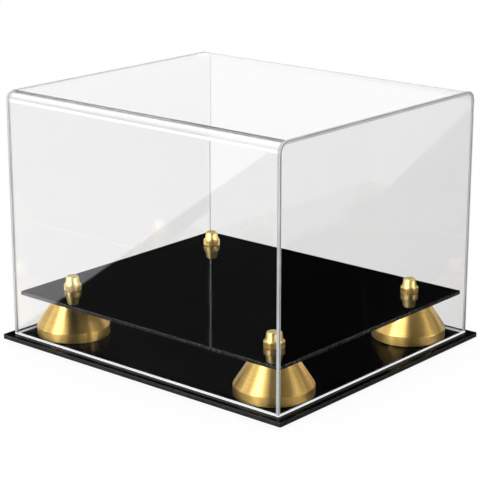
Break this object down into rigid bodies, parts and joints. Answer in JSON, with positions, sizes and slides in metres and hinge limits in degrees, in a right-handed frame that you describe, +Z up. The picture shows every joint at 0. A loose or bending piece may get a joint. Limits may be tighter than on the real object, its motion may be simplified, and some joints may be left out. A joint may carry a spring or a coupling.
{
  "type": "display case",
  "caption": "Clear acrylic display case: a lift-off cover on a black base, over a raised black platform on gold conical risers with finial nuts.",
  "frame": {"origin": "middle of the case's footprint, on the surface that its feet stand on", "axes": "+Z up, X along the case's long side, Y along its short side; the front long wall faces -Y"},
  "size_m": [0.315, 0.275, 0.2236],
  "materials": {
    "clear_acrylic": "clear polished acrylic sheet, 3 mm",
    "black_acrylic": "black high-gloss acrylic sheet",
    "satin_gold": "gold-anodised, satin turned",
    "polished_gold": "polished gold",
    "zinc_steel": "bright zinc plate",
    "black_rubber": "matt moulded rubber"
  },
  "bodies": {
    "stand": {"base_plate": "black_acrylic", "platform": "black_acrylic", "riser_1": "satin_gold", "riser_2": "satin_gold", "riser_3": "satin_gold", "riser_4": "satin_gold", "foot_1": "black_rubber", "foot_2": "black_rubber", "foot_3": "black_rubber", "foot_4": "black_rubber"},
    "cover": {"cover_wrap": "clear_acrylic", "cover_end_left": "clear_acrylic", "cover_end_right": "clear_acrylic"},
    "screw_1": {"screw_1": "zinc_steel"},
    "screw_2": {"screw_2": "zinc_steel"},
    "screw_3": {"screw_3": "zinc_steel"},
    "screw_4": {"screw_4": "zinc_steel"},
    "finial_1": {"finial_1": "polished_gold"},
    "finial_2": {"finial_2": "polished_gold"},
    "finial_3": {"finial_3": "polished_gold"},
    "finial_4": {"finial_4": "polished_gold"}
  },
  "joints": [
    {"name": "cover_lift", "type": "slide", "parent": "stand", "child": "cover", "axis": [0, 0, 1], "range_m": [0, 0.23]},
    {"name": "screw_turn_1", "type": "hinge", "parent": "stand", "child": "screw_1", "pos_m": [-0.1135, -0.092, 0.0025], "axis": [0, 0, -1], "range_deg": [0, 3292]},
    {"name": "finial_rise_1", "type": "slide", "parent": "stand", "child": "finial_1", "axis": [0, 0, 1], "range_m": [0, 0.0064]},
    {"name": "screw_turn_2", "type": "hinge", "parent": "stand", "child": "screw_2", "pos_m": [0.1135, -0.092, 0.0025], "axis": [0, 0, -1], "range_deg": [0, 3292]},
    {"name": "finial_rise_2", "type": "slide", "parent": "stand", "child": "finial_2", "axis": [0, 0, 1], "range_m": [0, 0.0064]},
    {"name": "screw_turn_3", "type": "hinge", "parent": "stand", "child": "screw_3", "pos_m": [0.1135, 0.092, 0.0025], "axis": [0, 0, -1], "range_deg": [0, 3292]},
    {"name": "finial_rise_3", "type": "slide", "parent": "stand", "child": "finial_3", "axis": [0, 0, 1], "range_m": [0, 0.0064]},
    {"name": "screw_turn_4", "type": "hinge", "parent": "stand", "child": "screw_4", "pos_m": [-0.1135, 0.092, 0.0025], "axis": [0, 0, -1], "range_deg": [0, 3292]},
    {"name": "finial_rise_4", "type": "slide", "parent": "stand", "child": "finial_4", "axis": [0, 0, 1], "range_m": [0, 0.0064]}
  ],
  "couplings": [
    {"joint": "screw_turn_1", "follows": "finial_rise_1", "rad_per_m": 8976},
    {"joint": "screw_turn_2", "follows": "finial_rise_2", "rad_per_m": 8976},
    {"joint": "screw_turn_3", "follows": "finial_rise_3", "rad_per_m": 8976},
    {"joint": "screw_turn_4", "follows": "finial_rise_4", "rad_per_m": 8976}
  ]
}
